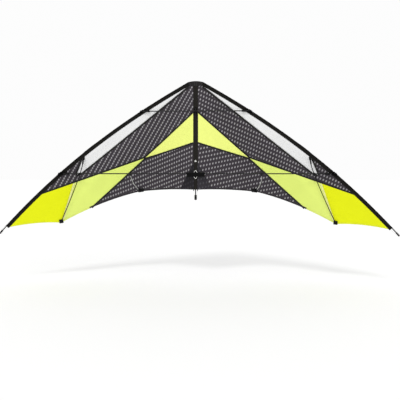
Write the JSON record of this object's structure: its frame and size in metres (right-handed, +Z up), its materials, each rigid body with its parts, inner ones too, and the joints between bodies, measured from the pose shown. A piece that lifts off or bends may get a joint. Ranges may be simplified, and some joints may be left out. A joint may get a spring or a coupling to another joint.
{
  "type": "dual-line delta kite",
  "caption": "Delta-winged dual-line kite: panelled sail on a tube frame, with folding wings and spreaders that pull off.",
  "frame": {"origin": "on the spine tube's axis, level with the lower spreader, inside the centre T", "axes": "+X along the right wing as seen from the front, +Y back, where the sail bellies to, +Z up the spine to the nose"},
  "size_m": [2.1988, 0.1913, 0.8485],
  "materials": {
    "carbon_tube": "satin black tube",
    "moulded_rubber": "matte moulded rubber",
    "black_plastic": "moulded, slightly glossy",
    "pale_rod": "pale glass-fibre rod",
    "ferrule_metal": "drawn tube",
    "sleeve_cloth": "black woven sleeve cloth",
    "dark_print_cloth": "dark ripstop with rows of pale dots",
    "white_cloth": "translucent white ripstop",
    "pale_yellow_cloth": "pale yellow ripstop",
    "lime_cloth": "yellow-green ripstop",
    "neon_yellow_cloth": "neon yellow ripstop",
    "pale_cord": "braided pale cord"
  },
  "bodies": {
    "centre_frame": {"spine_tube": "carbon_tube", "spine_end_cap": "black_plastic", "spine_sleeve": "sleeve_cloth", "nose_webbing": "sleeve_cloth", "centre_t": "moulded_rubber", "upper_spreader_clip": "moulded_rubber", "spine_knot": "pale_cord", "centre_loop": "pale_cord", "spine_tension_cord": "pale_cord"},
    "upper_spreader": {"upper_spreader": "carbon_tube"},
    "left_wing": {"left_le_upper_tube": "carbon_tube", "left_le_lower_tube": "carbon_tube", "left_le_ferrule": "ferrule_metal", "left_le_sleeve_upper": "sleeve_cloth", "left_le_sleeve_middle": "sleeve_cloth", "left_le_sleeve_lower": "sleeve_cloth", "left_upper_le_fitting": "moulded_rubber", "left_lower_le_fitting": "moulded_rubber", "left_window_panel": "white_cloth", "left_upper_panel": "dark_print_cloth", "left_centre_panel": "pale_yellow_cloth", "left_lower_panel": "dark_print_cloth", "left_outer_panel": "lime_cloth", "left_tip_panel": "neon_yellow_cloth", "left_spine_patch": "sleeve_cloth", "left_standoff_rod": "pale_rod", "left_standoff_clip": "black_plastic", "left_standoff_foot": "black_plastic", "left_whisker_rod": "carbon_tube", "left_whisker_socket": "black_plastic", "left_whisker_clip": "black_plastic", "left_whisker_foot": "black_plastic", "left_tip_cap": "black_plastic", "left_tip_cord": "pale_cord"},
    "left_lower_spreader": {"left_lower_spreader": "carbon_tube"},
    "right_wing": {"right_le_upper_tube": "carbon_tube", "right_le_lower_tube": "carbon_tube", "right_le_ferrule": "ferrule_metal", "right_le_sleeve_upper": "sleeve_cloth", "right_le_sleeve_middle": "sleeve_cloth", "right_le_sleeve_lower": "sleeve_cloth", "right_upper_le_fitting": "moulded_rubber", "right_lower_le_fitting": "moulded_rubber", "right_window_panel": "white_cloth", "right_upper_panel": "dark_print_cloth", "right_centre_panel": "pale_yellow_cloth", "right_lower_panel": "dark_print_cloth", "right_outer_panel": "lime_cloth", "right_tip_panel": "neon_yellow_cloth", "right_spine_patch": "sleeve_cloth", "right_standoff_rod": "pale_rod", "right_standoff_clip": "black_plastic", "right_standoff_foot": "black_plastic", "right_whisker_rod": "carbon_tube", "right_whisker_socket": "black_plastic", "right_whisker_clip": "black_plastic", "right_whisker_foot": "black_plastic", "right_tip_cap": "black_plastic", "right_tip_cord": "pale_cord"},
    "right_lower_spreader": {"right_lower_spreader": "carbon_tube"}
  },
  "joints": [
    {"name": "left_wing_fold", "type": "hinge", "parent": "centre_frame", "child": "left_wing", "pos_m": [0, 0, 0], "axis": [0, 0, -1], "range_deg": [0, 55]},
    {"name": "right_wing_fold", "type": "hinge", "parent": "centre_frame", "child": "right_wing", "pos_m": [0, 0, 0], "axis": [0, 0, 1], "range_deg": [0, 55]},
    {"name": "left_lower_spreader_pull", "type": "slide", "parent": "centre_frame", "child": "left_lower_spreader", "axis": [-1, 0, 0], "range_m": [0, 0.024]},
    {"name": "right_lower_spreader_pull", "type": "slide", "parent": "centre_frame", "child": "right_lower_spreader", "axis": [1, 0, 0], "range_m": [0, 0.024]},
    {"name": "upper_spreader_unclip", "type": "slide", "parent": "centre_frame", "child": "upper_spreader", "axis": [0, -1, 0], "range_m": [0, 0.04]}
  ]
}
